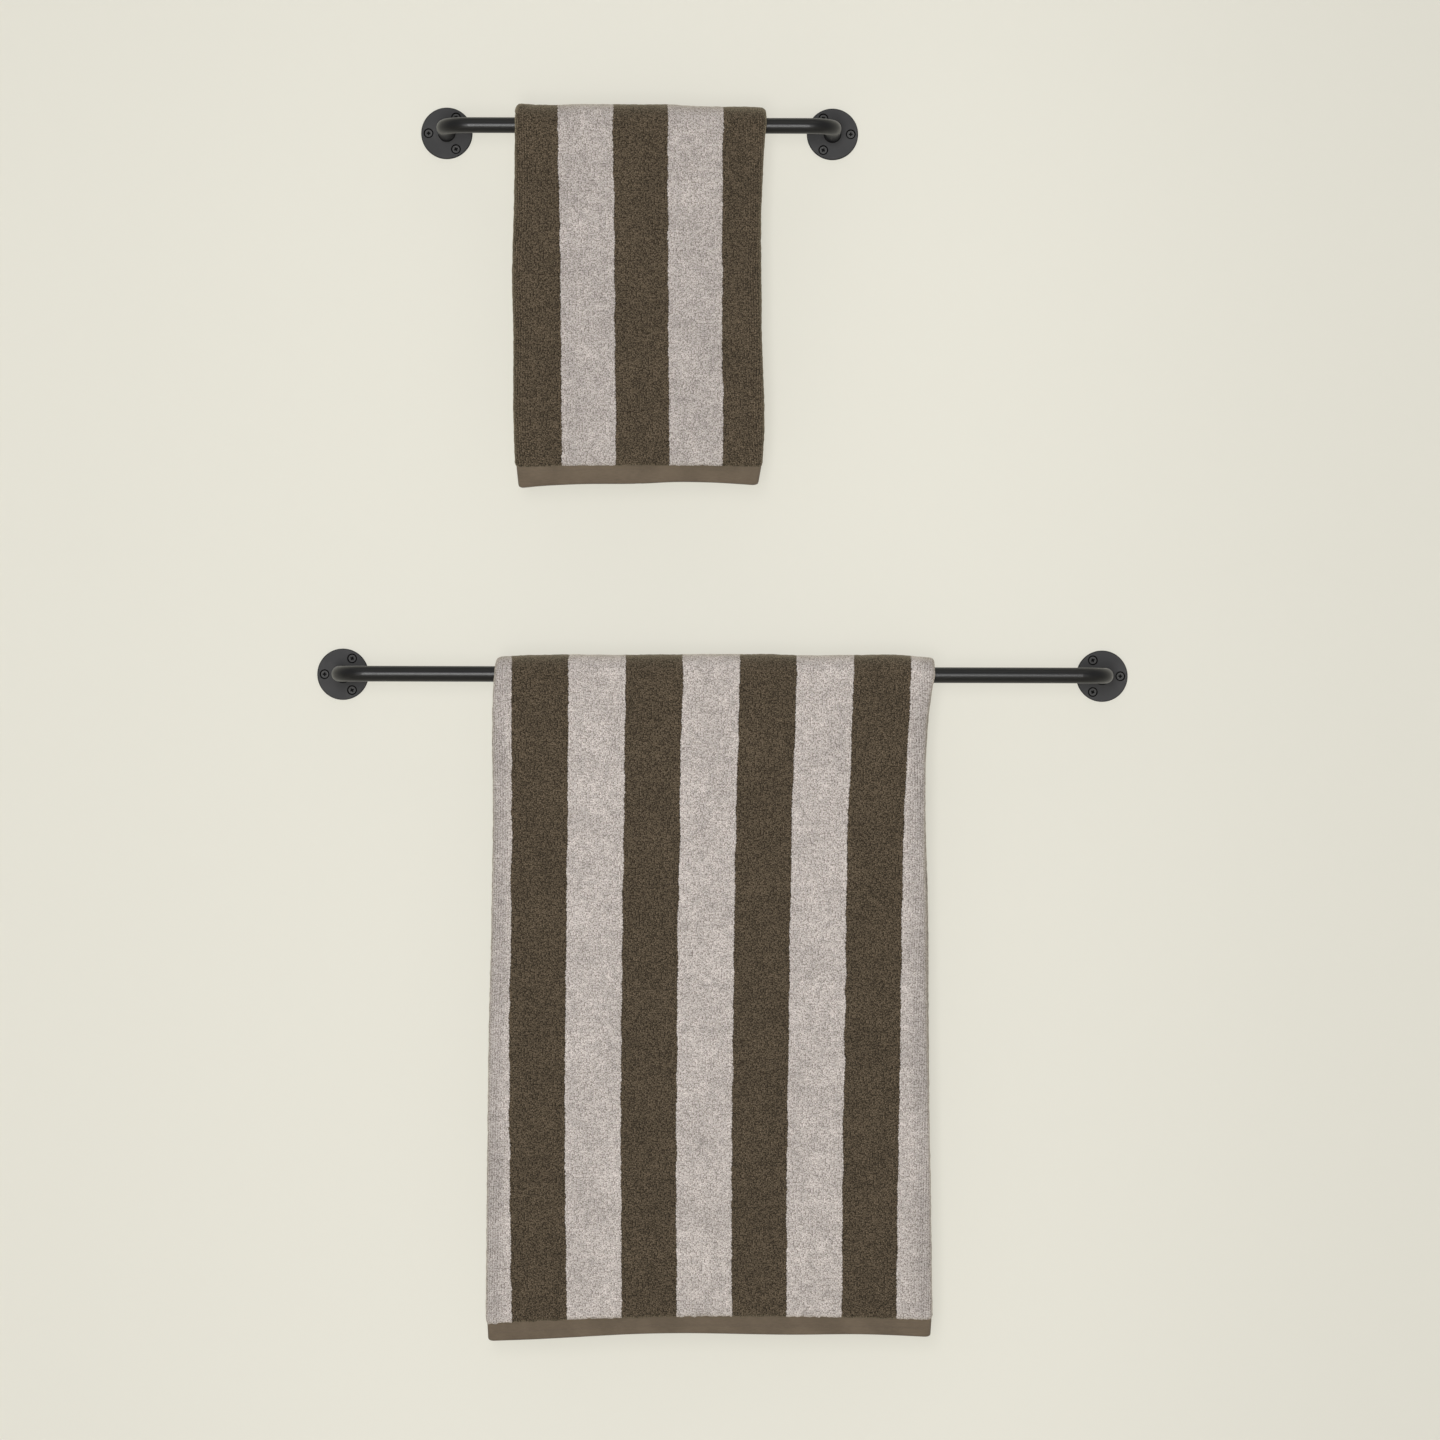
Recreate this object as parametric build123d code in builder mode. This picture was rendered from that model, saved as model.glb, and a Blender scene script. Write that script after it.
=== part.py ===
"""Bath towel set: a hand towel and a bath towel, each hung over its own black wall rail.

Millimetres. The wall is the plane Y = 0, and the set stands out from it towards -Y, with +X
to the right and +Z up. The origin is on the wall, midway between the bath rail's flanges.
Each towel is folded to half its width, with both side edges turned in to the middle, so it
is two layers of terry thick everywhere.
"""
from build123d import *
import os

os.makedirs("parts", exist_ok=True)

# Rails: distance between the flange centres, and where the hand rail's middle is
BATH_RAIL_SPAN = 622.0
HAND_RAIL_SPAN = 316.0
HAND_RAIL_X = -69.0
HAND_RAIL_Z = 443.5

# Rail tube
TUBE_DIAMETER = 12.7
TUBE_WALL = 1.2
BAR_STANDOFF = 65.0
BEND_RADIUS = 20.0

# Wall flanges, with a socket that the tube is welded into
FLANGE_DIAMETER = 42.0
FLANGE_THICKNESS = 3.0
FLANGE_CHAMFER = 0.5
SOCKET_DEPTH = 1.8
SOCKET_SLIP = 0.05
WELD_LEG = 0.8
WELD_LIP = 0.1

# Countersunk screws, three to a flange on one circle, the first one outermost
SCREW_CIRCLE = 30.0
SCREWS_PER_FLANGE = 3
SCREW_HOLE_DIAMETER = 4.4
COUNTERSINK_DIAMETER = 8.0
COUNTERSINK_ANGLE = 90
SCREW_LENGTH = 30.0
HEAD_DIAMETER = 6.0
HEAD_RIM = 0.15
HEAD_SINK = 0.8
NECK_DIAMETER = 3.9
SHANK_DIAMETER = 3.5
SHANK_LENGTH = 9.0
THREAD_CORE_DIAMETER = 2.4
THREAD_PITCH = 1.5
THREAD_CREST = 0.2
THREAD_RIDGES = 9
RECESS_SPAN = 3.2
RECESS_SLOT = 1.3
RECESS_DEPTH = 1.6
RECESS_TAPER = 8

# Towels: folded width, then how far the front and the back hang below the bar's axis
HAND_TOWEL_WIDTH = 201.0
HAND_TOWEL_FRONT = 291.0
HAND_TOWEL_BACK = 279.0
HAND_TOWEL_SHIFT = 0.0
BATH_TOWEL_WIDTH = 356.0
BATH_TOWEL_FRONT = 536.0
BATH_TOWEL_BACK = 518.0
BATH_TOWEL_SHIFT = -8.0
HEM_HEIGHT = 15.0
HEM_INSET = 2.0

# Cloth: one layer's thickness, the layers in the fold, the roundness of a folded side,
# and the clearance over the bar
TERRY_LAYER = 4.85
HEM_LAYER = 3.0
FOLD_LAYERS = 2
SIDE_ROUNDING = 0.45
BAR_CLEARANCE = 0.3

# The front drop swings about the bar, so the saddle stops short of its highest place
FRONT_SWING = 30
SWING_MARGIN = 3

TUBE_RADIUS = TUBE_DIAMETER / 2
SADDLE_INNER = TUBE_RADIUS + BAR_CLEARANCE
TERRY_THICKNESS = FOLD_LAYERS * TERRY_LAYER
HEM_THICKNESS = FOLD_LAYERS * HEM_LAYER
DROP_OFFSET = SADDLE_INNER + TERRY_THICKNESS / 2
LEFT = -1
RIGHT = 1
FRONT = -1
BACK = 1


def save(part, name):
    """Label one finished sub-part and write its STEP file."""
    part.label = name
    export_step(part, f"parts/{name}.step")


def rail_tube(name, x, z, span):
    """The bar and its two posts: one tube with a bend at each end."""
    half = span / 2
    foot = SOCKET_DEPTH - FLANGE_THICKNESS
    with BuildPart() as tube:
        with BuildLine(Plane.XY.offset(z)) as axis:
            FilletPolyline(
                (x - half, foot),
                (x - half, -BAR_STANDOFF),
                (x + half, -BAR_STANDOFF),
                (x + half, foot),
                radius=BEND_RADIUS,
            )
        with BuildSketch(Plane(origin=axis.line @ 0, z_dir=axis.line % 0)):
            Circle(TUBE_RADIUS)
            Circle(TUBE_RADIUS - TUBE_WALL, mode=Mode.SUBTRACT)
        sweep()
    save(tube.part, name)


def flange_face(x, z, side):
    """The plane of a flange's front face, its x direction pointing away from the bar."""
    return Plane(origin=(x, -FLANGE_THICKNESS, z), x_dir=(side, 0, 0), z_dir=(0, -1, 0))


def flange(name, face):
    """A round plate with a shallow socket and weld for the tube, and countersunk holes."""
    with BuildPart(face) as plate:
        Cylinder(
            FLANGE_DIAMETER / 2,
            FLANGE_THICKNESS,
            align=(Align.CENTER, Align.CENTER, Align.MAX),
        )
        chamfer(plate.edges().sort_by(Axis.Y)[0], FLANGE_CHAMFER)
        Cone(
            TUBE_RADIUS + WELD_LEG,
            TUBE_RADIUS + WELD_LIP,
            WELD_LEG,
            align=(Align.CENTER, Align.CENTER, Align.MIN),
        )
        with Locations((0, 0, WELD_LEG)):
            Hole(TUBE_RADIUS + SOCKET_SLIP, depth=WELD_LEG + SOCKET_DEPTH)
        with PolarLocations(SCREW_CIRCLE / 2, SCREWS_PER_FLANGE):
            CounterSinkHole(
                SCREW_HOLE_DIAMETER / 2,
                COUNTERSINK_DIAMETER / 2,
                depth=FLANGE_THICKNESS,
                counter_sink_angle=COUNTERSINK_ANGLE,
            )
    save(plate.part, name)


def screw_outline():
    """Half of a screw's profile as (radius, height) points, from its head down to its tip."""
    head = HEAD_DIAMETER / 2
    neck = NECK_DIAMETER / 2
    shank = SHANK_DIAMETER / 2
    core = THREAD_CORE_DIAMETER / 2
    wall_line = HEAD_SINK - FLANGE_THICKNESS
    points = [(0, 0), (head, 0), (head, -HEAD_RIM)]
    points += [(neck, -HEAD_RIM - head + neck), (neck, wall_line), (shank, wall_line)]
    thread_top = wall_line - SHANK_LENGTH
    points += [(shank, thread_top), (core, thread_top - THREAD_PITCH / 2)]
    for turn in range(1, THREAD_RIDGES + 1):
        ridge = thread_top - turn * THREAD_PITCH
        points += [(shank, ridge + THREAD_CREST / 2), (shank, ridge - THREAD_CREST / 2)]
        points += [(core, ridge - THREAD_PITCH / 2)]
    points += [(0, -SCREW_LENGTH)]
    return points


def screw():
    """One countersunk cross-head screw, standing on Z with its head's top at the origin."""
    with BuildPart() as one:
        with BuildSketch(Plane.XZ):
            with BuildLine():
                Polyline(*screw_outline(), close=True)
            make_face()
        revolve(axis=Axis.Z)
        with BuildSketch(Plane.XY):
            Rectangle(RECESS_SPAN, RECESS_SLOT)
            Rectangle(RECESS_SLOT, RECESS_SPAN)
        extrude(amount=-RECESS_DEPTH, taper=RECESS_TAPER, mode=Mode.SUBTRACT)
    return one.part


def screw_set(name, face, one_screw):
    """The three screws of one flange."""
    with BuildPart(face.offset(-HEAD_SINK)) as screws:
        with PolarLocations(SCREW_CIRCLE / 2, SCREWS_PER_FLANGE):
            add(one_screw)
    save(screws.part, name)


def folded_cloth(width, thickness):
    """Sketch the cross-section of folded cloth, with round folds at its two sides."""
    return RectangleRounded(width, thickness, thickness * SIDE_ROUNDING)


def saddle(name, x, z, width):
    """The stretch of towel over the bar, from the back drop's top up and over to the front."""
    bar_axis = Axis((x, -BAR_STANDOFF, z), (1, 0, 0))
    with BuildPart() as bend:
        with BuildSketch(Plane(origin=(x, -BAR_STANDOFF + DROP_OFFSET, z))):
            folded_cloth(width, TERRY_THICKNESS)
        revolve(axis=bar_axis, revolution_arc=180 - FRONT_SWING - SWING_MARGIN)
    save(bend.part, name)


def hanging_panel(name, top_centre, width, thickness, height):
    """A flat stretch of folded cloth hanging down from its top."""
    with BuildPart() as panel:
        with BuildSketch(Plane(origin=top_centre)):
            folded_cloth(width, thickness)
        extrude(amount=-height)
    save(panel.part, name)


def drop(name, x, z, width, face, length):
    """One side of a towel below the bar: its terry and the flat hem that ends it."""
    y = -BAR_STANDOFF + face * DROP_OFFSET
    terry = length - HEM_HEIGHT
    hanging_panel(f"{name}_drop", (x, y, z), width, TERRY_THICKNESS, terry)
    hem_top = (x, y, z - terry)
    hanging_panel(f"{name}_hem", hem_top, width - 2 * HEM_INSET, HEM_THICKNESS, HEM_HEIGHT)


def rail(name, x, z, span):
    """One towel rail: tube, two flanges and their screws."""
    rail_tube(f"{name}_tube", x, z, span)
    one_screw = screw()
    for word, side in (("left", LEFT), ("right", RIGHT)):
        face = flange_face(x + side * span / 2, z, side)
        flange(f"{name}_{word}_flange", face)
        screw_set(f"{name}_{word}_screws", face, one_screw)


def towel(name, x, z, width, front_length, back_length):
    """One towel: the saddle over the bar, the back drop and the front drop."""
    saddle(f"{name}_saddle", x, z, width)
    drop(f"{name}_back", x, z, width, BACK, back_length)
    drop(f"{name}_front", x, z, width, FRONT, front_length)


rail("bath_rail", 0, 0, BATH_RAIL_SPAN)
rail("hand_rail", HAND_RAIL_X, HAND_RAIL_Z, HAND_RAIL_SPAN)
towel("bath_towel", BATH_TOWEL_SHIFT, 0, BATH_TOWEL_WIDTH, BATH_TOWEL_FRONT, BATH_TOWEL_BACK)
towel(
    "hand_towel",
    HAND_RAIL_X + HAND_TOWEL_SHIFT,
    HAND_RAIL_Z,
    HAND_TOWEL_WIDTH,
    HAND_TOWEL_FRONT,
    HAND_TOWEL_BACK,
)
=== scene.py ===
"""Looks for the bath towel set: two striped terry towels, each folded over its own wall rail."""

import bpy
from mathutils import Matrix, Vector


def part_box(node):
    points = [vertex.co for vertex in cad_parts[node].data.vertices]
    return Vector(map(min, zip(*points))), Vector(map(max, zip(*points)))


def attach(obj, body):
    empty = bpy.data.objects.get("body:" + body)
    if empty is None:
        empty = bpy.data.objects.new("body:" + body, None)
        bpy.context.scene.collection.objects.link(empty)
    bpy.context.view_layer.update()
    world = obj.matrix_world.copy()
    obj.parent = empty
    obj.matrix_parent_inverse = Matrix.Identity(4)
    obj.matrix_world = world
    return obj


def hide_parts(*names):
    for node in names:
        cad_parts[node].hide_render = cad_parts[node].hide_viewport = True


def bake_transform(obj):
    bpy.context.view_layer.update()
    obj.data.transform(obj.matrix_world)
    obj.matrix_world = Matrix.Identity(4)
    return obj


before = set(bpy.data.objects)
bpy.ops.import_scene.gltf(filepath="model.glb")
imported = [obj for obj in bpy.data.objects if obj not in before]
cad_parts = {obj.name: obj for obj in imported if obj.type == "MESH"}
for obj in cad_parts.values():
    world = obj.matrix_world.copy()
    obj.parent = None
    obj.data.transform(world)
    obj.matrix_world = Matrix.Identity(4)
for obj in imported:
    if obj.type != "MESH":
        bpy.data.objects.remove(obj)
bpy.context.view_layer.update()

import math

import bpy
import numpy as np
from mathutils import Matrix, Vector

MM = 0.001

# ---------------------------------------------------------------- node trees


class Tree:
    """A material's node tree, with short calls for adding and linking nodes."""

    def __init__(self, name):
        self.material = bpy.data.materials.new(name)
        self.material.use_nodes = True
        self.nodes = self.material.node_tree.nodes
        self.links = self.material.node_tree.links
        self.shader = next(n for n in self.nodes if n.type == "BSDF_PRINCIPLED")
        self.output = next(n for n in self.nodes if n.type == "OUTPUT_MATERIAL")

    def put(self, socket, value):
        """Link value to the socket if it is another socket, or else set the socket to it."""
        if isinstance(value, bpy.types.NodeSocket):
            self.links.new(value, socket)
        else:
            socket.default_value = value

    def surface(self, **inputs):
        """Set or link the shader's own inputs, by name."""
        for name, value in inputs.items():
            self.put(self.shader.inputs[name.replace("_", " ")], value)

    def add(self, kind, output=0, props=None, **inputs):
        """A new node's output; inputs are numbers or sockets, by name or as i0, i1, ..."""
        node = self.nodes.new(kind)
        for key, value in (props or {}).items():
            setattr(node, key, value)
        for key, value in inputs.items():
            index = int(key[1:]) if key[1:].isdigit() else key.replace("_", " ")
            self.put(node.inputs[index], value)
        return node.outputs[output]

    def math(self, operation, a, b=0.0, c=0.0):
        return self.add("ShaderNodeMath", props={"operation": operation}, i0=a, i1=b, i2=c)

    def times(self, a, b):
        return self.math("MULTIPLY", a, b)

    def ramp(self, value, low, high, to_low=0.0, to_high=1.0):
        """value from low..high, smoothly to to_low..to_high."""
        props = {"interpolation_type": "SMOOTHSTEP"}
        return self.add(
            "ShaderNodeMapRange", props=props, i0=value, i1=low, i2=high, i3=to_low, i4=to_high
        )

    def mix(self, factor, a, b, blend="MIX"):
        """Two colours mixed by factor."""
        node = self.nodes.new("ShaderNodeMix")
        node.data_type, node.blend_type = "RGBA", blend
        for name, value in (("Factor_Float", factor), ("A_Color", a), ("B_Color", b)):
            socket = next(s for s in node.inputs if s.identifier == name)
            self.put(socket, value)
        return next(s for s in node.outputs if s.identifier == "Result_Color")

    def shaded(self, colour, share):
        """A colour times a share."""
        return self.mix(1.0, colour, self.combine(share, share, share), "MULTIPLY")

    def noise(self, vector, scale, detail=2.0, roughness=0.5):
        return self.add(
            "ShaderNodeTexNoise", Vector=vector, Scale=scale, Detail=detail, Roughness=roughness
        )

    def combine(self, x, y, z=0.0):
        return self.add("ShaderNodeCombineXYZ", i0=x, i1=y, i2=z)

    def split(self, vector):
        """A vector's x, y and z."""
        node = self.nodes.new("ShaderNodeSeparateXYZ")
        self.put(node.inputs[0], vector)
        return node.outputs

    def stored(self, name, output=2):
        """What the mesh stores at its points under a name: output 2 for a number, 1 for a vector."""
        return self.add("ShaderNodeAttribute", output=output, props={"attribute_name": name})

    def place(self):
        """The point's place in the object, in metres."""
        return self.add("ShaderNodeTexCoord", output=3)

    def bump(self, height, distance, strength):
        return self.add("ShaderNodeBump", Height=height, Distance=distance, Strength=strength)


# ---------------------------------------------------------------- materials

STRIPE_FLAT = 45.5 * MM  # one stripe's width in the flat cloth
EDGE_WAVER = 4.0 * MM  # how far a stripe's edge may wander
LOOP_STRAY = 2.2 * MM  # how far single loops may stray over it
LOOP_PITCH = 1.15 * MM
YARN_CURL = 0.5 * MM
PILE_ROWS = 2.0 * MM  # from row to row of loops, seen where the pile opens round a fold
# the pile's colours in the painted shade of its hollows and in the painted light on its loop tips
LIGHT_GAP_IN_SHADE = (0.210, 0.183, 0.167, 1)
LIGHT_TIP_LIT = (0.766, 0.709, 0.694, 1)
DARK_GAP_IN_SHADE = (0.012, 0.009, 0.005, 1)
DARK_TIP_LIT = (0.188, 0.143, 0.099, 1)
WARM_FUZZ = (1.0, 0.88, 0.62, 1)
HEM_BROWN = (0.131, 0.101, 0.071, 1)
HEM_PICK = 0.9 * MM
THREAD_BROWN = (0.118, 0.092, 0.066, 1)


def terry_material():
    """Looped cotton in two colours.

    The cloth attribute is (across, along, nearness to a fold). Round a fold the pile's own
    surface is longer than the cloth's, and pile_across measures along that.
    """
    t = Tree("terry")
    across, along, fold = t.split(t.stored("cloth", output=1))
    pile_across = t.stored("pile_across")
    middle_dark = t.stored("middle_dark")
    flat = t.combine(pile_across, along)

    # stripes: each edge wavers on its own, and single loops stray over it
    edge_number = t.math("ROUND", t.math("SUBTRACT", t.math("DIVIDE", across, STRIPE_FLAT), 0.5))
    lane = t.combine(t.times(edge_number, 3.7), t.times(along, 42.0))
    waver = t.math("SUBTRACT", t.noise(lane, 1.0, 3.0, 0.6), 0.5)
    stray = t.math("SUBTRACT", t.noise(flat, 1 / (1.7 * MM), 1.0), 0.5)
    shifted = t.math("MULTIPLY_ADD", waver, EDGE_WAVER, across)
    shifted = t.math("MULTIPLY_ADD", stray, LOOP_STRAY, shifted)
    wave = t.math("COSINE", t.times(shifted, math.pi / STRIPE_FLAT))
    dark = t.ramp(t.times(wave, middle_dark), -0.016, 0.016)

    # loops: jittered tips, each its own height, with curled yarn on top
    cells = t.add(
        "ShaderNodeTexVoronoi",
        props={"feature": "F1", "voronoi_dimensions": "2D"},
        Vector=flat,
        Scale=1 / LOOP_PITCH,
        Randomness=0.75,
    )
    tip = t.math("SUBTRACT", 1.0, cells)
    own_height = t.add("ShaderNodeSeparateColor", i0=cells.node.outputs["Color"])
    curl = t.noise(flat, 1 / YARN_CURL, 1.0, 0.6)
    ribs = t.times(t.math("SINE", t.times(pile_across, 2 * math.pi / PILE_ROWS)), fold)
    height = t.math("MULTIPLY_ADD", tip, 1.4, curl)
    height = t.math("MULTIPLY_ADD", own_height, 0.5, height)
    height = t.math("MULTIPLY_ADD", ribs, 0.16, height)

    # colour: by height, painted shade between the loops, where the ground weave's own darker colour
    # also shows, and painted light on their tips
    depth = t.add("ShaderNodeMapRange", i0=height, i1=1.04, i2=2.30)
    light_pile = t.mix(depth, LIGHT_GAP_IN_SHADE, LIGHT_TIP_LIT)
    dark_pile = t.mix(t.math("POWER", depth, 1.5), DARK_GAP_IN_SHADE, DARK_TIP_LIT)

    # the light stripes carry painted shade along the folds, and are a little duller in their own colour
    # on the hand towel
    fold_shade_and_hand_tone = t.times(t.ramp(fold, 0.05, 1.0, 1.0, 0.81), t.ramp(middle_dark, -1.0, 1.0, 1.0, 0.88))
    pile = t.mix(dark, t.shaded(light_pile, fold_shade_and_hand_tone), dark_pile)

    # mottling, in wide patches and in tufts
    broad = t.ramp(t.noise(flat, 1 / (34 * MM), 3.0, 0.55), 0.25, 0.75, 0.91, 1.09)
    tuft = t.ramp(t.noise(flat, 1 / (7 * MM), 2.0), 0.25, 0.75, 0.90, 1.10)
    t.surface(
        Base_Color=t.shaded(pile, t.times(broad, tuft)),
        Roughness=0.95,
        Specular_IOR_Level=0.15,
        Sheen_Weight=0.36,
        Sheen_Roughness=0.5,
        Sheen_Tint=WARM_FUZZ,
        Normal=t.bump(height, 0.30 * MM, 0.7),
    )
    return t.material


def hem_material():
    """Flat woven cotton band, with slubs in its weft."""
    t = Tree("hem")
    across, along, _ = t.split(t.stored("cloth", output=1))
    pick = 2 * math.pi / HEM_PICK
    warp = t.math("SINE", t.times(across, pick))
    weft = t.math("SINE", t.times(along, pick))
    weave = t.times(warp, weft)
    slub = t.noise(t.combine(t.times(across, 0.2), along), 1 / HEM_PICK, 2.0)
    broad = t.noise(t.combine(across, along), 1 / (22 * MM), 3.0)
    shade = t.ramp(broad, 0.25, 0.75, 0.88, 1.12)
    shade = t.times(shade, t.ramp(slub, 0.2, 0.8, 0.91, 1.09))
    shade = t.times(shade, t.ramp(weave, -1.0, 1.0, 0.93, 1.05))
    t.surface(
        Base_Color=t.shaded(HEM_BROWN, shade),
        Roughness=0.85,
        Specular_IOR_Level=0.25,
        Sheen_Weight=0.12,
        Normal=t.bump(t.math("MULTIPLY_ADD", slub, 0.8, weave), 0.12 * MM, 0.6),
    )
    return t.material


def thread_material():
    """Twisted sewing thread."""
    t = Tree("thread")
    twist = t.noise(t.place(), 1 / (0.4 * MM), 2.0)
    shade = t.ramp(twist, 0.3, 0.7, 0.8, 1.15)
    t.surface(Base_Color=t.shaded(THREAD_BROWN, shade), Roughness=0.7)
    return t.material


def coat_material(name, colour, specular, roughness, deep=None):
    """Satin black coat with fine orange peel.

    With deep, a distance from the wall, it carries painted shade nearer the wall than that, as in a
    screw's cross, and where it doesn't face the room squarely, as in a countersink.
    """
    t = Tree(name)
    place = t.place()
    peel = t.noise(place, 1 / (0.5 * MM), 3.0, 0.55)
    cloud = t.noise(place, 1 / (18 * MM), 2.0)
    shade = t.ramp(cloud, 0.3, 0.7, 0.92, 1.08)
    # painted shade in the recesses and on faces turned from the room
    if deep:
        normal = t.add("ShaderNodeTexCoord", output=1)
        shade = t.times(shade, t.ramp(t.split(normal)[1], -0.97, -0.85, 1.0, 0.06))
        shade = t.times(shade, t.ramp(t.split(place)[1], -deep, -deep + 0.3 * MM, 1.0, 0.06))
    t.surface(
        Base_Color=t.shaded(colour, shade),
        Roughness=t.ramp(peel, 0.3, 0.7, roughness - 0.03, roughness + 0.04),
        Specular_IOR_Level=specular,
        Normal=t.bump(peel, 0.06 * MM, 0.5),
    )
    return t.material


def wall_material():
    """Pale cream paint with a painted light falloff, a little darker to the sides and the top, and seen
    through from behind.

    It glows with painted light of its own, so that the shadows on it stay faint.
    """
    t = Tree("wall_paint")
    place = t.place()
    across, _, height = t.split(place)
    # painted light falloff, darker to the sides and the top, in the paint and in the glow
    painted_falloff = t.ramp(across, 0.15, 0.6, 1.0, 0.925)
    painted_falloff = t.times(painted_falloff, t.ramp(across, -0.6, -0.2, 0.965, 1.0))
    painted_falloff = t.times(painted_falloff, t.ramp(height, 0.3, 0.6, 1.0, 0.98))
    cloud = t.noise(place, 2.2, 2.0)
    paint = t.mix(cloud, (0.246, 0.240, 0.214, 1), (0.252, 0.246, 0.220, 1))
    t.surface(
        Base_Color=t.shaded(paint, painted_falloff),
        # the wall's glow is painted light
        Emission_Color=t.shaded((0.80, 0.782, 0.695, 1), painted_falloff),
        Emission_Strength=0.66,
        Roughness=0.9,
        Specular_IOR_Level=0.1,
    )
    clear = t.add("ShaderNodeBsdfTransparent")
    from_behind = t.add("ShaderNodeNewGeometry", output=6)
    mixed = t.add("ShaderNodeMixShader", i0=from_behind, i1=t.shader.outputs[0], i2=clear)
    t.put(t.output.inputs["Surface"], mixed)
    return t.material


def floor_material():
    t = Tree("floor")
    t.surface(Base_Color=(0.80, 0.775, 0.70, 1), Roughness=0.9, Specular_IOR_Level=0.1)
    return t.material


# ---------------------------------------------------------------- shapes

FRONT, BACK = 0, 1
SIDE_WORDS = ("front", "back")

SPACING = 4.85 * MM  # terry: from one layer's middle to the next
PILE_LAYER = 4.55 * MM  # a layer's own thickness
HEM_SPACING = 3.0 * MM
HEM_LAYER = 2.75 * MM
HEM_OVERLAP = 5.0 * MM  # how far the band runs up under the pile
HEM_CORNER = 2.0 * MM  # how far in its lower corners are rounded
HEM_ROWS = np.array([*np.linspace(0, 1, 15)[:-1], 0.94, 0.97, 0.988, 1.0])  # shares of its height
FLAP_GAP = 5.0 * MM  # between the two side edges, where they meet at the inner layer's middle
RAGGED_END = 0.9 * MM
SCALLOP = 0.35 * MM  # how unevenly the crest stands
FOLD_REACH = 9 * MM  # how far in from a fold the pile is opened, and the light stripes carry painted shade

GRID = 2.0 * MM  # between the terry's points, down and across
HEM_GRID = 2.5 * MM
FLAP_GRID = 5.0 * MM
FOLD_STEPS = 8
REAR_STEP = 3  # the terry's hidden rear face takes every third column

STITCH_PITCH = 2.8 * MM
STITCH_LENGTH = 2.1 * MM
STITCH_RADIUS = 0.22 * MM
STITCH_SIDES = 6
STITCH_BELOW_PILE = 2.6 * MM
STITCH_PROFILE = [(-1.0, 0.15), (-0.8, 0.75), (-0.4, 1.0), (0.4, 1.0), (0.8, 0.75), (1.0, 0.15)]

HASH_AXES = (73856093, 19349663, 83492791)
HASH_SEED = 40503
HASH_MIX = (2246822519, 3266489917)
HASH_MAX = 0xFFFFFFFF


def noise_at(cell, seed, *place):
    """Smooth noise from -1 to 1 at x, y and z, in lumps about a cell across."""
    grids = np.broadcast_arrays(*place)
    points = np.stack(grids, axis=-1).reshape(-1, 3) / cell
    corner = np.floor(points).astype(np.int64)
    part = points - corner
    part = part * part * (3 - 2 * part)
    total = np.zeros(len(points))
    for step in np.ndindex(2, 2, 2):
        x, y, z = ((corner + step) * HASH_AXES).T
        h = (x ^ y ^ z ^ seed * HASH_SEED) & HASH_MAX
        h = ((h ^ (h >> 15)) * HASH_MIX[0]) & HASH_MAX
        h = ((h ^ (h >> 13)) * HASH_MIX[1]) & HASH_MAX
        h = (h ^ (h >> 16)) / HASH_MAX
        total += (2 * h - 1) * np.prod(np.where(step, part, 1 - part), axis=1)
    return total.reshape(grids[0].shape)


def smooth_table(places, table):
    """A smooth curve through a table of (place, value) pairs, read at places."""
    at, value = np.array(table, float).T
    slope = np.gradient(value, at)
    i = np.clip(np.searchsorted(at, places) - 1, 0, len(at) - 2)
    span = at[i + 1] - at[i]
    f = np.clip((places - at[i]) / span, 0, 1)
    return (
        value[i] * (1 + 2 * f) * (1 - f) ** 2
        + value[i + 1] * f * f * (3 - 2 * f)
        + span * (slope[i] * f * (1 - f) ** 2 - slope[i + 1] * f * f * (1 - f))
    )


def new_mesh(name, points, faces, material):
    """A smooth-shaded mesh object in the scene."""
    mesh = bpy.data.meshes.new(name)
    mesh.from_pydata(points.tolist(), [], faces)
    mesh.materials.append(material)
    mesh.polygons.foreach_set("use_smooth", np.ones(len(mesh.polygons), bool))
    mesh.update()
    obj = bpy.data.objects.new(name, mesh)
    bpy.context.scene.collection.objects.link(obj)
    return obj


def cross_section(width, spacing, grid):
    """Columns across folded cloth, from one side edge round both folds to the other.

    Each row holds the shares of the left fold, the right fold and the meeting line in the
    column's place, the step sideways, and the distance from the fold's middle, outwards.
    """
    radius = spacing / 2
    outer = max(2, round(width / grid))
    flap = max(2, round(width / 2 / FLAP_GRID))
    turns = [math.pi * i / FOLD_STEPS for i in range(FOLD_STEPS)]
    rows = []
    for i in range(flap):
        f = i / flap
        rows.append((f, 0, 1 - f, -FLAP_GAP / 2 * (1 - f), -radius))
    for a in turns:
        rows.append((1, 0, 0, -radius * math.sin(a), -radius * math.cos(a)))
    for i in range(outer):
        f = i / outer
        rows.append((1 - f, f, 0, 0, radius))
    for a in turns:
        rows.append((0, 1, 0, radius * math.sin(a), radius * math.cos(a)))
    for i in range(flap + 1):
        f = i / flap
        rows.append((0, 1 - f, f, FLAP_GAP / 2 * f, -radius))
    return np.array(rows)


def spread(left, right, columns):
    """Every row's places across, from where its two folds are."""
    folds_and_meet = (left, right, (left + right) / 2)
    shares = sum(line[:, None] * columns[:, k] for k, line in enumerate(folds_and_meet))
    return shares + columns[:, 3]


def steps_along(x, out):
    """Distance along each row of a cross-section, from its first point."""
    step_x = np.diff(x, axis=1, prepend=x[:, :1])
    step_out = np.diff(out, axis=1, prepend=out[:, :1])
    return np.cumsum(np.hypot(step_x, step_out), axis=1)


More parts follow.
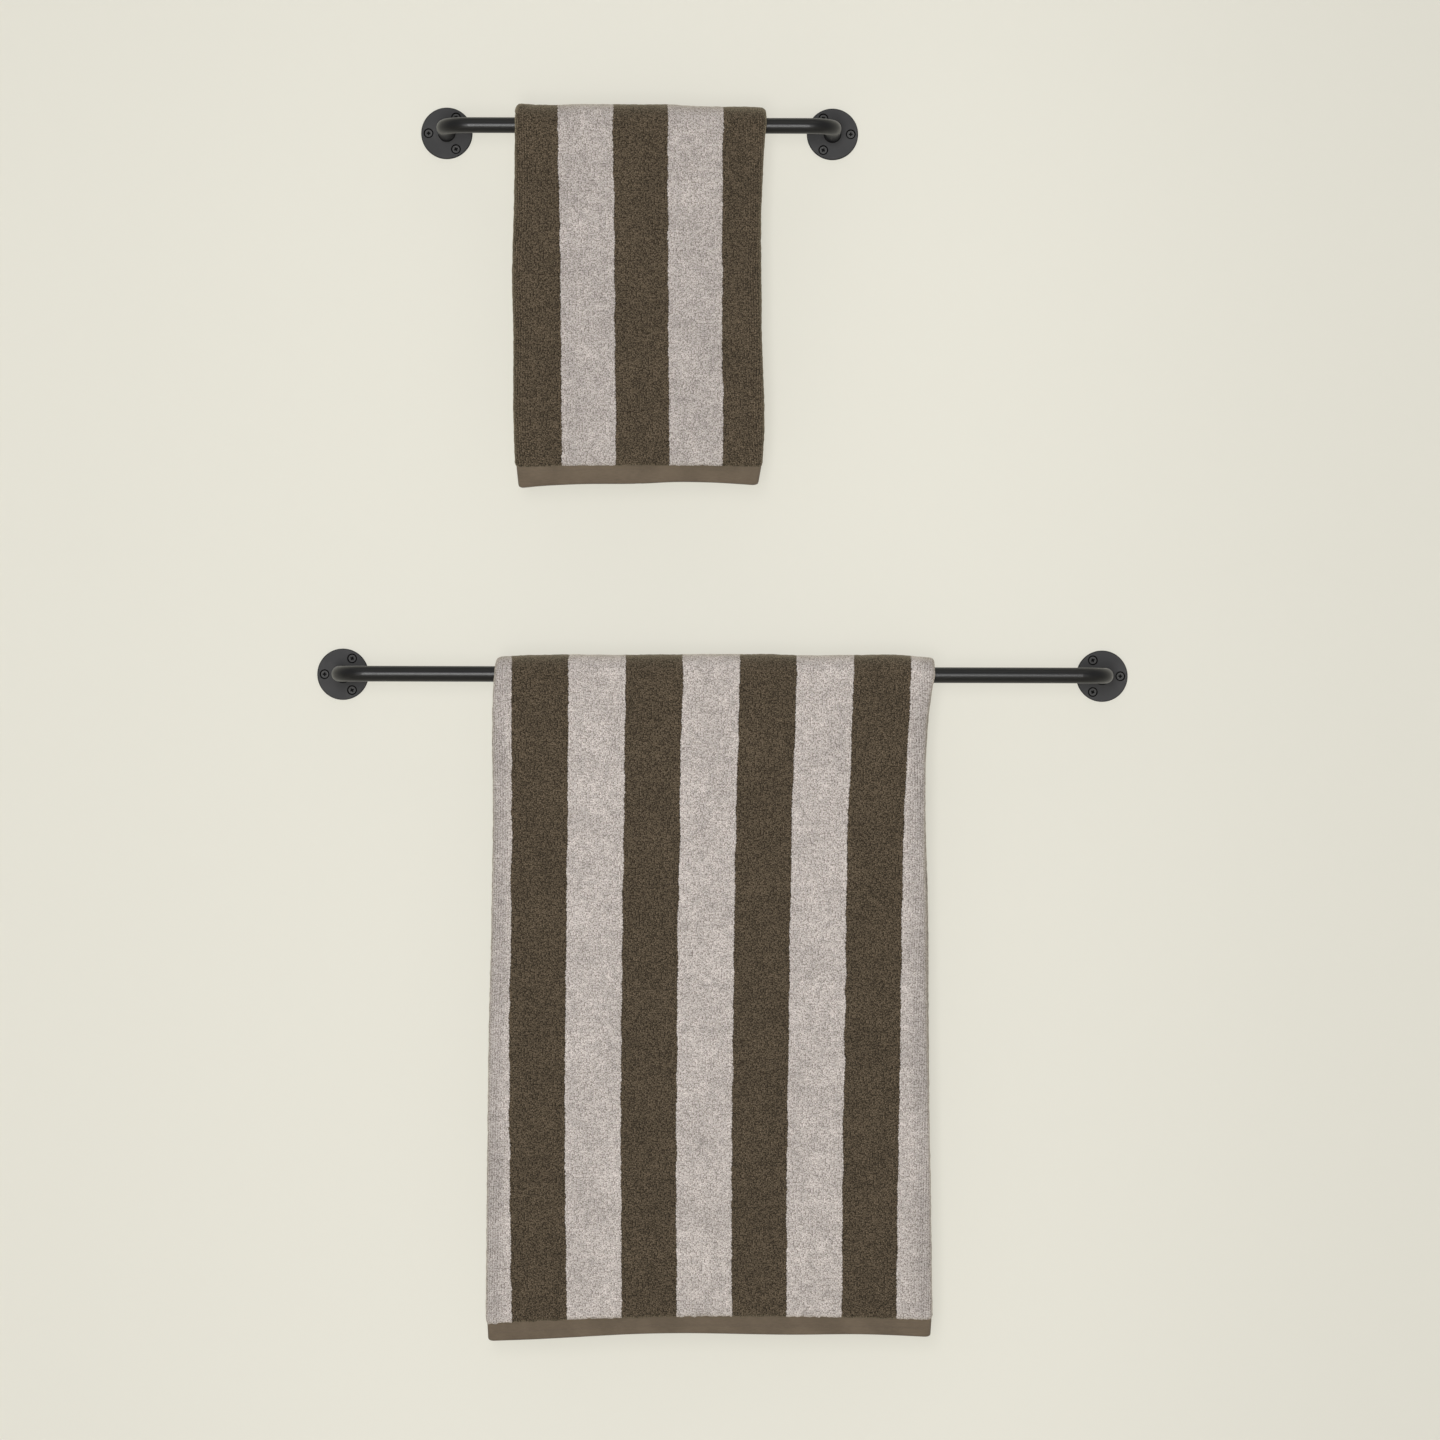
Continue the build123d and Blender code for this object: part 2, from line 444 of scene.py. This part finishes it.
def normals_2d(x, out):
    """Unit normals (across, outwards) along each row of a cross-section."""
    step_x, step_out = np.gradient(x, axis=1), np.gradient(out, axis=1)
    length = np.hypot(step_x, step_out)
    return -step_out / length, step_x / length


def sheet_faces(rows, columns, coarse):
    """Faces of a closed sheet: a fine face, a coarse rear, and their borders.

    The rear uses every coarse-th column, and its points follow the face's.
    """
    picks = [*range(0, columns - 1, coarse), columns - 1]
    start, wide = rows * columns, len(picks)
    faces = []
    for r in range(rows - 1):
        for c in range(columns - 1):
            a = r * columns + c
            faces.append((a, a + 1, a + columns + 1, a + columns))
        for c in range(wide - 1):
            a = start + r * wide + c
            faces.append((a, a + wide, a + wide + 1, a + 1))
        a, b = r * columns, start + r * wide
        faces.append((a, a + columns, b + wide, b))
        a, b = a + columns - 1, b + wide - 1
        faces.append((a, b, b + wide, a + columns))
    for r in (0, rows - 1):
        for c in range(wide - 1):
            fine = [r * columns + k for k in range(picks[c], picks[c + 1] + 1)]
            a = start + r * wide + c
            border = [*reversed(fine), a, a + 1]
            faces.append(border if r == 0 else border[::-1])
    return picks, faces


def sheet_piece(name, face, rear, coarse, material, values):
    """A closed sheet between two grids of points, storing each named grid of values."""
    picks, faces = sheet_faces(*face.shape[:2], coarse)

    def both_sides(front, behind):
        deep = front.shape[2:]
        return np.concatenate([front.reshape(-1, *deep), behind[:, picks].reshape(-1, *deep)])

    piece = new_mesh(name, both_sides(face, rear), faces, material)
    for key, grid in values.items():
        kind, field = ("FLOAT_VECTOR", "vector") if grid.ndim == 3 else ("FLOAT", "value")
        attribute = piece.data.attributes.new(key, kind, "POINT")
        attribute.data.foreach_set(field, both_sides(grid, grid).ravel())
    return piece


def border_taper(count, shares):
    """Shares of the full thickness, by how many points in from the nearer end a point is."""
    inset = np.minimum(np.arange(count), np.arange(count)[::-1])
    return np.interp(inset, range(len(shares)), shares)


class Towel:
    """One towel's measures, read from its CAD nodes, and how its cloth really hangs.

    drops holds the front's and the back's hanging tables, ends_low the pile's and the hem's lower
    edges, and flat the size that the cloth was cut to, which is not used. middle_dark is 1 if the
    middle stripe is dark, or else -1.
    """

    def __init__(self, name, seed, drops, crest, ends_low, hem_inset, middle_dark, flat):
        self.name, self.seed, self.flat, self.middle_dark = name, seed, flat, middle_dark
        self.drops, self.crest, self.ends_low, self.hem_inset = drops, crest, ends_low, hem_inset
        tube_low, tube_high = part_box(f"{name}_rail_tube")
        self.axis_y = tube_low.y + (tube_high.z - tube_low.z) / 2
        self.axis_z = (tube_low.z + tube_high.z) / 2
        low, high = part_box(f"{name}_towel_front_drop")
        self.x = (low.x + high.x) / 2
        self.width = high.x - low.x
        self.middle = self.axis_y - (low.y + high.y) / 2  # the fold's middle, from the bar's axis
        self.ends = [self.depth(f"{side}_drop") for side in SIDE_WORDS]
        self.hem_ends = [self.depth(f"{side}_hem") for side in SIDE_WORDS]

    def depth(self, node):
        """How far below the bar's axis a node of this towel ends."""
        return self.axis_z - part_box(f"{self.name}_towel_{node}")[0].z

    def along_width(self, table, x):
        """A table of (place across the width, mm) read at x."""
        share = np.clip((x - self.x) / (self.width / 2), -1, 1)
        return MM * smooth_table(share, table)

    def outline(self, side, down):
        """Left and right silhouette, middle stripe and stripe width, at distances down a drop."""
        at, *values = (np.array(self.drops[side], float) * MM).T
        left, right, middle, stripe = (
            smooth_table(down, np.stack([at, value], axis=1)) for value in values
        )
        return self.x + left, self.x + right, self.x + middle, stripe

    def hang(self, side, x, down):
        """How far the cloth stands off its plane, outwards, where it hangs below the bar."""
        seed = self.seed + 3 * side
        wave = 1.1 * noise_at(90 * MM, seed, x, 0.7 * side, 0.45 * down)
        wave += 0.35 * noise_at(28 * MM, seed + 1, x, 0.7 * side, down)
        ease = np.clip(down / (70 * MM), 0, 1)
        return wave * ease * ease * MM

    def place(self, x, out, down, angle):
        """Points at distances out from the fold's middle, then round the bar and down from it."""
        radius = self.middle + out
        y = self.axis_y - radius * np.cos(angle)
        z = self.axis_z + radius * np.sin(angle) - down
        return np.stack([x, y, z], axis=-1)


def cloth_rows(towel):
    """Distance below the bar and angle round it for each row, from the front end to the back."""
    steps = round(math.pi * (towel.middle + SPACING) / GRID)
    front = np.linspace(towel.ends[FRONT], 0, round(towel.ends[FRONT] / GRID) + 1)
    over = np.linspace(0, math.pi, steps + 1)[1:-1]
    back = np.linspace(0, towel.ends[BACK], round(towel.ends[BACK] / GRID) + 1)
    down = np.concatenate([front, np.zeros(len(over)), back])
    angle = np.concatenate([np.zeros(len(front)), over, np.full(len(back), math.pi)])
    return down, angle


def crest_shift(towel, x, across, out, angle):
    """How far each point stands off a tight wrap, and how far the layers are pressed.

    Where the crest is high, the outer layer stands off the inner one. Where it is low, both
    layers are pressed onto the bar, and press is less than 0.
    """
    scallop = noise_at(24 * MM, towel.seed + 9, across, 0, 0)
    lift = (towel.along_width(towel.crest, x) + SCALLOP * scallop) * np.sin(angle)
    press = np.minimum(lift, 0)
    stand = np.maximum(lift, 0) * np.clip(out / SPACING + 0.5, 0, 1)
    return stand + press * (out / SPACING + 1) / 2, press


def towel_cloth(towel, material):
    """The terry: one sheet from the front hem over the bar to the back hem."""
    columns = cross_section(towel.width, SPACING, GRID)
    down, angle = cloth_rows(towel)
    share = angle / math.pi  # 0 on the front, 1 on the back
    left, right, stripe_middle, stripe = (
        front * (1 - share) + back * share
        for front, back in zip(towel.outline(FRONT, down), towel.outline(BACK, down))
    )
    turn = SPACING / 2 + PILE_LAYER / 2
    left, right = left + turn, right - turn
    x = spread(left, right, columns)
    out = np.broadcast_to(columns[:, 4], x.shape)

    # the flat cloth's own coordinates: across from the middle stripe, along from the front end
    travel = steps_along(x, out)
    outer = int(np.argmax(columns[:, 4] > SPACING / 2 * 0.999))
    zero = travel[:, outer] + stripe_middle - x[:, outer]
    across = (travel - zero[:, None]) / (stripe / STRIPE_FLAT)[:, None]
    row_steps = np.abs(np.diff(down)) + (towel.middle + SPACING) * np.abs(np.diff(angle))
    along = np.broadcast_to(np.cumsum([0, *row_steps])[:, None], x.shape)

    # the ends don't hang level, and the pile's last row is ragged
    down, angle, share = (np.broadcast_to(row[:, None], x.shape) for row in (down, angle, share))
    near_end = down / np.where(share < 0.5, *towel.ends)
    ragged = noise_at(1.7 * MM, towel.seed + 5, across, out, share)
    pile_end = towel.ends_low[0]
    down = down + near_end**3 * towel.along_width(pile_end, x)
    down = down + (near_end > 0.995) * RAGGED_END * ragged

    # how far the cloth stands off, over the bar and down the drops
    shift, press = crest_shift(towel, x, across, out, angle)
    hanging = np.where(share < 0.5, towel.hang(FRONT, x, down), towel.hang(BACK, x, down))
    shift = np.where(down > 0, hanging, 0) + shift

    # two faces of the layer, thinned at all four borders, with lumps of pile on the outer one
    nx, nd = normals_2d(x, out)
    full = border_taper(len(x), [0.45, 0.85, 1])[:, None] * border_taper(len(columns), [0.6, 1])
    thick = PILE_LAYER / 2 * full + press / 4
    pile = 0.16 * noise_at(3.1 * MM, towel.seed + 11, across, along, 0)
    pile += 0.14 * noise_at(7 * MM, towel.seed + 12, across, along, 0)
    pile += 0.09 * np.random.default_rng(towel.seed).standard_normal(x.shape).clip(-2, 2)
    top = thick + pile * MM * full
    face = towel.place(x + nx * top, out + nd * top + shift, down, angle)
    rear = towel.place(x - nx * thick, out - nd * thick + shift, down, angle)

    from_fold = np.minimum(np.abs(x - left[:, None]), np.abs(right[:, None] - x))
    near_fold = np.exp(-((from_fold / FOLD_REACH) ** 2))
    values = {
        "cloth": np.stack([across, along, near_fold], axis=-1),
        "pile_across": steps_along(x + nx * PILE_LAYER / 2, out + nd * PILE_LAYER / 2),
        "middle_dark": np.full(x.shape, towel.middle_dark),
    }
    return sheet_piece(f"{towel.name}_towel_cloth", face, rear, REAR_STEP, material, values)


def towel_hem(towel, side, material):
    """The flat woven band that ends one drop, turned round both folds with the cloth.

    With it come its face's points and their distances from the fold's middle.
    """
    columns = cross_section(towel.width, HEM_SPACING, HEM_GRID)
    start, pile_end, bottom = towel.ends[side] - HEM_OVERLAP, towel.ends[side], towel.hem_ends[side]
    down = start + (bottom - start) * HEM_ROWS
    left, right, _, _ = towel.outline(side, np.minimum(down, pile_end))
    below = np.clip((down - pile_end) / (bottom - pile_end), 0, 1)
    turn = HEM_SPACING / 2 + HEM_LAYER / 2
    corner = HEM_CORNER * np.clip((HEM_ROWS - 0.85) / 0.15, 0, 1) ** 3
    tuck_left, tuck_right = (
        turn + MM * (top + (low - top) * below) + corner for top, low in towel.hem_inset
    )
    x = spread(left + tuck_left, right - tuck_right, columns)
    out = np.broadcast_to(columns[:, 4], x.shape)
    down = np.broadcast_to(down[:, None], x.shape)
    shift = towel.hang(side, x, down)

    # it follows the pile's lower edge at its top, and has its own at its bottom
    sag = 0.5 * MM * noise_at(60 * MM, towel.seed + 21 + side, x, 0, 0)
    top_edge, low_edge = (towel.along_width(table, x) for table in towel.ends_low)
    down = down + top_edge + (low_edge - top_edge + sag) * HEM_ROWS[:, None]

    # its lower edge is round
    nx, nd = normals_2d(x, out)
    from_edge = np.clip((1 - HEM_ROWS) * (bottom - start) / (HEM_LAYER / 2), 0, 1)
    round_edge = np.sqrt(1 - (1 - from_edge) ** 2)
    thick = (HEM_LAYER / 2 * np.maximum(round_edge, 0.12))[:, None]
    angle = np.full(x.shape, math.pi * side)
    face = towel.place(x + nx * thick, out + nd * thick + shift, down, angle)
    rear = towel.place(x - nx * thick, out - nd * thick + shift, down, angle)
    values = {"cloth": np.stack([steps_along(x, out), down, 0 * x], axis=-1)}
    name = f"{towel.name}_towel_{SIDE_WORDS[side]}_hem_band"
    return sheet_piece(name, face, rear, 1, material, values), face, out


def hem_stitching(towel, side, face, out, material):
    """A row of lockstitches across the band, just under the pile."""
    height = towel.axis_z - towel.ends[side] - STITCH_BELOW_PILE
    row = int(np.argmin(np.abs(face[:, face.shape[1] // 2, 2] - height)))
    line = face[row][out[row] > HEM_SPACING / 2 * 0.98]
    outwards = -1.0 if side == FRONT else 1.0
    travel = np.cumsum([0, *np.linalg.norm(np.diff(line, axis=0), axis=1)])
    last = (len(STITCH_PROFILE) - 1) * STITCH_SIDES
    points, faces = [], []
    for k in range(int(travel[-1] / STITCH_PITCH) - 1):
        centre = np.array([np.interp((k + 1) * STITCH_PITCH, travel, axis) for axis in line.T])
        base = len(points)
        for along, size in STITCH_PROFILE:
            for j in range(STITCH_SIDES):
                a = 2 * math.pi * j / STITCH_SIDES
                proud = outwards * STITCH_RADIUS * (0.35 + 0.9 * size * math.cos(a))
                across = along * STITCH_LENGTH / 2
                points.append(centre + (across, proud, size * STITCH_RADIUS * math.sin(a)))
        for ring in range(base, base + last, STITCH_SIDES):
            for j in range(STITCH_SIDES):
                a, b = ring + j, ring + (j + 1) % STITCH_SIDES
                faces.append((a, b, b + STITCH_SIDES, a + STITCH_SIDES))
        faces.append([base + j for j in reversed(range(STITCH_SIDES))])
        faces.append([base + last + j for j in range(STITCH_SIDES)])
    name = f"{towel.name}_towel_{SIDE_WORDS[side]}_stitching"
    return new_mesh(name, np.array(points), faces, material)


# ---------------------------------------------------------------- stage, light and camera

WALL_Y = 0.0002
FLOOR_Z = -0.8
REACH = 6  # how far the wall and the floor run to the sides
WALL_TOP = 5
CAMERA = (-0.0019, -4.48, -0.0367)
CAMERA_ROLL = -0.15
LENS, SENSOR = 136.6, 36.0


def stage_plane(name, corners, material):
    obj = new_mesh(name, np.array(corners, float), [(0, 1, 2, 3)], material)
    return obj


def area_light(name, place, target, size, power, colour=(1, 1, 1)):
    """A soft light that faces target."""
    data = bpy.data.lights.new(name, "AREA")
    data.shape, data.size, data.size_y = "RECTANGLE", size[0], size[1]
    data.energy, data.color = power, colour
    obj = bpy.data.objects.new(name, data)
    bpy.context.scene.collection.objects.link(obj)
    direction = Vector(target) - Vector(place)
    obj.rotation_euler = direction.to_track_quat("-Z", "Y").to_euler()
    obj.location = place


def studio():
    """The wall, the floor and the light."""
    low, high = FLOOR_Z, WALL_TOP
    wall = [(-REACH, WALL_Y, low), (REACH, WALL_Y, low), (REACH, WALL_Y, high), (-REACH, WALL_Y, high)]
    stage_plane("wall", wall, wall_material())
    ground = [(-REACH, -REACH, low), (REACH, -REACH, low), (REACH, REACH, low), (-REACH, REACH, low)]
    floor = stage_plane("floor", ground, floor_material())
    floor.visible_shadow = False
    world = bpy.data.worlds.new("studio")
    world.use_nodes = True
    sky = world.node_tree.nodes["Background"]
    sky.inputs["Color"].default_value = (1.0, 0.995, 0.985, 1)
    sky.inputs["Strength"].default_value = 0.42
    bpy.context.scene.world = world
    area_light("key", (-0.25, -4.3, 0.0), (0, 0, 0), (0.7, 1.6), 107)
    area_light("top", (0, -1.3, 2.0), (0, -0.05, 0.1), (2.4, 0.9), 5, (1.0, 0.95, 0.82))


def look_at_wall():
    """The camera, which faces the wall squarely."""
    data = bpy.data.cameras.new("camera")
    data.lens, data.sensor_width = LENS, SENSOR
    camera = bpy.data.objects.new("camera", data)
    camera.matrix_world = (
        Matrix.Translation(CAMERA)
        @ Matrix.Rotation(math.radians(CAMERA_ROLL), 4, "Y")
        @ Matrix.Rotation(math.radians(90), 4, "X")
    )
    bpy.context.scene.collection.objects.link(camera)
    bpy.context.scene.camera = camera
    bpy.context.scene.view_settings.view_transform = "Standard"


# ---------------------------------------------------------------- the set

# How each drop hangs, in mm: distance below the bar's axis; the left side, right side and
# middle of the middle stripe, from the towel's centre line; and one stripe's width there.
BATH_FRONT = [
    (0, -176.2, 179.6, -1.0, 46.0),
    (16, -177.0, 176.2, -1.3, 45.9),
    (110, -176.8, 171.8, -3.3, 45.2),
    (195, -177.6, 173.0, -4.5, 45.0),
    (280, -179.5, 174.0, -5.2, 45.0),
    (400, -180.7, 176.7, -6.0, 44.7),
    (521, -181.5, 178.7, -5.3, 44.2),
]
BATH_BACK = [
    (0, -174.2, 179.6, -1.0, 46.0),
    (20, -175.0, 176.8, -0.9, 45.9),
    (220, -177.5, 175.5, 0.5, 45.0),
    (503, -179.0, 178.5, 3.0, 44.4),
]
HAND_FRONT = [
    (0, -99.5, 103.4, 1.7, 44.5),
    (14, -99.6, 102.0, 1.8, 44.3),
    (40, -99.8, 100.6, 2.0, 44.0),
    (75, -100.3, 99.3, 2.4, 43.7),
    (115, -101.5, 99.5, 2.8, 43.5),
    (165, -100.5, 100.0, 3.0, 43.4),
    (255, -99.6, 102.0, 4.1, 43.2),
    (276, -98.6, 100.6, 4.1, 43.0),
]
HAND_BACK = [
    (0, -99.5, 103.4, 1.7, 44.5),
    (20, -99.6, 101.0, 1.6, 44.3),
    (150, -100.3, 100.0, 1.0, 43.7),
    (264, -99.0, 100.5, 0.3, 43.4),
]

# Along a towel's width, from -1 at its left side to 1 at its right: how much higher its crest
# stands than a tight wrap, and how much lower its ends hang, in mm. Then how far the hem stands
# in from the pile at its left and right side, at its top and at its bottom, in mm.
BATH_CREST = [(-1, -2.8), (-0.9, -1.5), (-0.4, -0.4), (0.1, 0.5), (0.5, -0.4), (0.85, 0.1), (1, -2.4)]
BATH_PILE_END = [(-1, 2.4), (-0.6, -1.5), (-0.1, -3.8), (0.5, -3.8), (0.85, -2.6), (1, -1.5)]
BATH_HEM_END = [(-1, 1.4), (-0.8, 0.0), (-0.5, -2.9), (-0.1, -5.0), (0.4, -4.0), (0.7, -5.1), (1, -2.3)]
BATH_INSET = [(1.4, 2.2), (0.9, 1.8)]
HAND_CREST = [(-1, 2.0), (-0.8, 0.6), (-0.5, 0.8), (0.3, 0.2), (0.5, -0.9), (0.8, -0.5), (1, -1.3)]
HAND_PILE_END = [(-1, 0.8), (-0.6, -0.3), (0.3, -0.6), (0.8, -0.4), (1, 0.5)]
HAND_HEM_END = [(-1, 3.6), (-0.8, 1.6), (-0.5, 0.1), (0, -1.2), (0.3, -2.5), (0.6, -1.8), (1, 0.6)]
HAND_INSET = [(1.2, 3.0), (0.8, 3.4)]

TOWELS = (
    Towel(
        "bath",
        seed=41,
        drops=(BATH_FRONT, BATH_BACK),
        crest=BATH_CREST,
        ends_low=(BATH_PILE_END, BATH_HEM_END),
        hem_inset=BATH_INSET,
        middle_dark=-1.0,
        flat=(0.711, 1.098),
    ),
    Towel(
        "hand",
        seed=7,
        drops=(HAND_FRONT, HAND_BACK),
        crest=HAND_CREST,
        ends_low=(HAND_PILE_END, HAND_HEM_END),
        hem_inset=HAND_INSET,
        middle_dark=1.0,
        flat=(0.402, 0.614),
    ),
)


def make_towel(towel, terry, hem, thread):
    """One towel's cloth, hems and stitching, in its CAD nodes' place; the hems and stitching each on
    its body.
    """
    name = f"{towel.name}_towel"
    for side, body in ((FRONT, f"{name}_front"), (BACK, name)):
        band, face, out = towel_hem(towel, side, hem)
        stitches = hem_stitching(towel, side, face, out, thread)
        for piece in (band, stitches):
            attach(piece, body)
        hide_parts(f"{name}_{SIDE_WORDS[side]}_hem")
    cloth = towel_cloth(towel, terry)
    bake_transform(cloth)
    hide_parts(f"{name}_saddle", f"{name}_back_drop", f"{name}_front_drop")


def finish_rails():
    """Powder coat on the tubes and flanges, and black oxide on the screws, with painted shade in the
    flanges' countersinks and the screws' crosses.
    """
    finishes = {
        "tube": coat_material("tube_coat", (0.006, 0.006, 0.0065, 1), 0.35, 0.34),
        "flange": coat_material("flange_coat", (0.050, 0.050, 0.052, 1), 0.10, 0.55, 2.9 * MM),
        "screws": coat_material("black_oxide", (0.075, 0.075, 0.076, 1), 0.06, 0.55, 2.0 * MM),
    }
    for node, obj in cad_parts.items():
        if "_rail_" in node:
            for slot in obj.material_slots:
                slot.material = finishes[node.split("_")[-1]]


terry, hem, thread = terry_material(), hem_material(), thread_material()
for towel in TOWELS:
    make_towel(towel, terry, hem, thread)
finish_rails()
studio()
look_at_wall()
